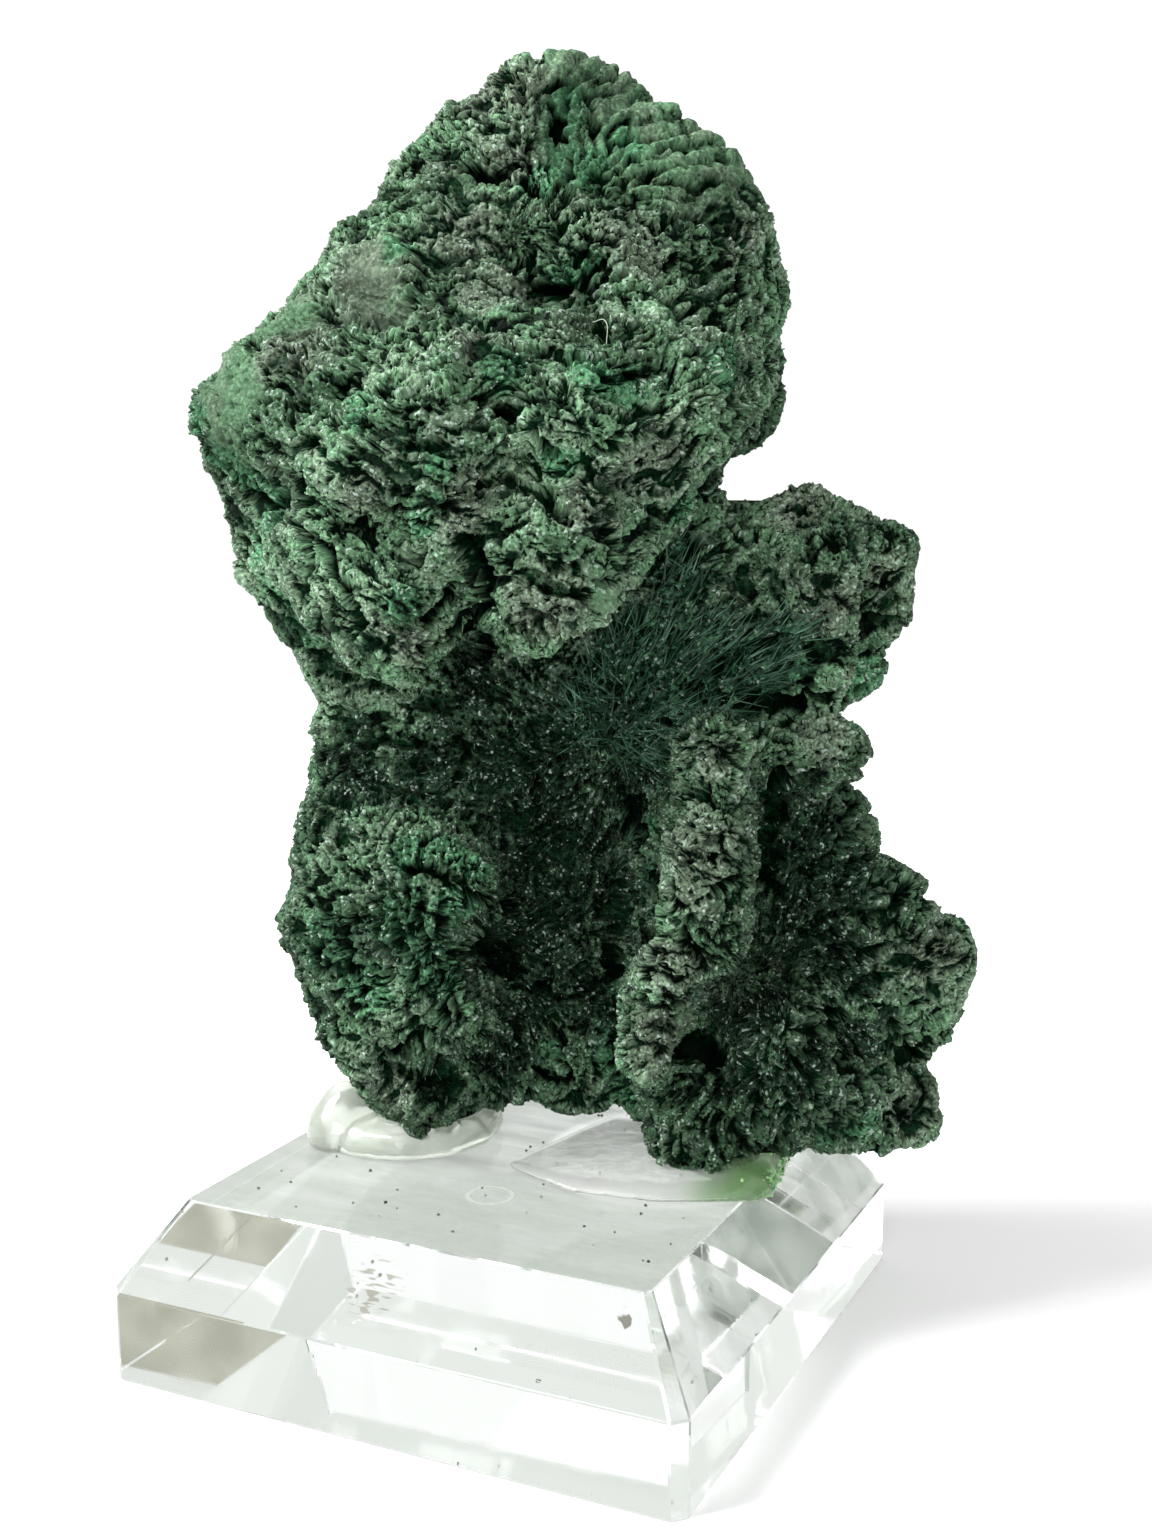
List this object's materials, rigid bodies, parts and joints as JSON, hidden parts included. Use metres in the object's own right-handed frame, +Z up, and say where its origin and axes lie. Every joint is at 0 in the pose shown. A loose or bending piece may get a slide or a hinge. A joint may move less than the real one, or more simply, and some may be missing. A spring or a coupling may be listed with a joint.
{
  "type": "malachite specimen on display block",
  "caption": "Dark green fibrous malachite specimen with a crumbly crust, glued upright on a clear bevelled display block.",
  "frame": {"origin": "centre of the clear block's flat underside", "axes": "+Z up, +X along the block's front edge to the right, +Y away from the front; the stone faces between -Y and +X, about 25 degrees from -Y"},
  "size_m": [0.0603, 0.053, 0.106],
  "materials": {
    "malachite": "dark green fibrous stone, matt and sparkling, under a grey-green crumbly crust",
    "acrylic": "clear, polished, a little dust",
    "adhesive": "set clear glue, slightly milky"
  },
  "bodies": {
    "root": {"malachite": "malachite", "acrylic_base": "acrylic", "glue_left": "adhesive", "glue_right": "adhesive"}
  },
  "joints": []
}
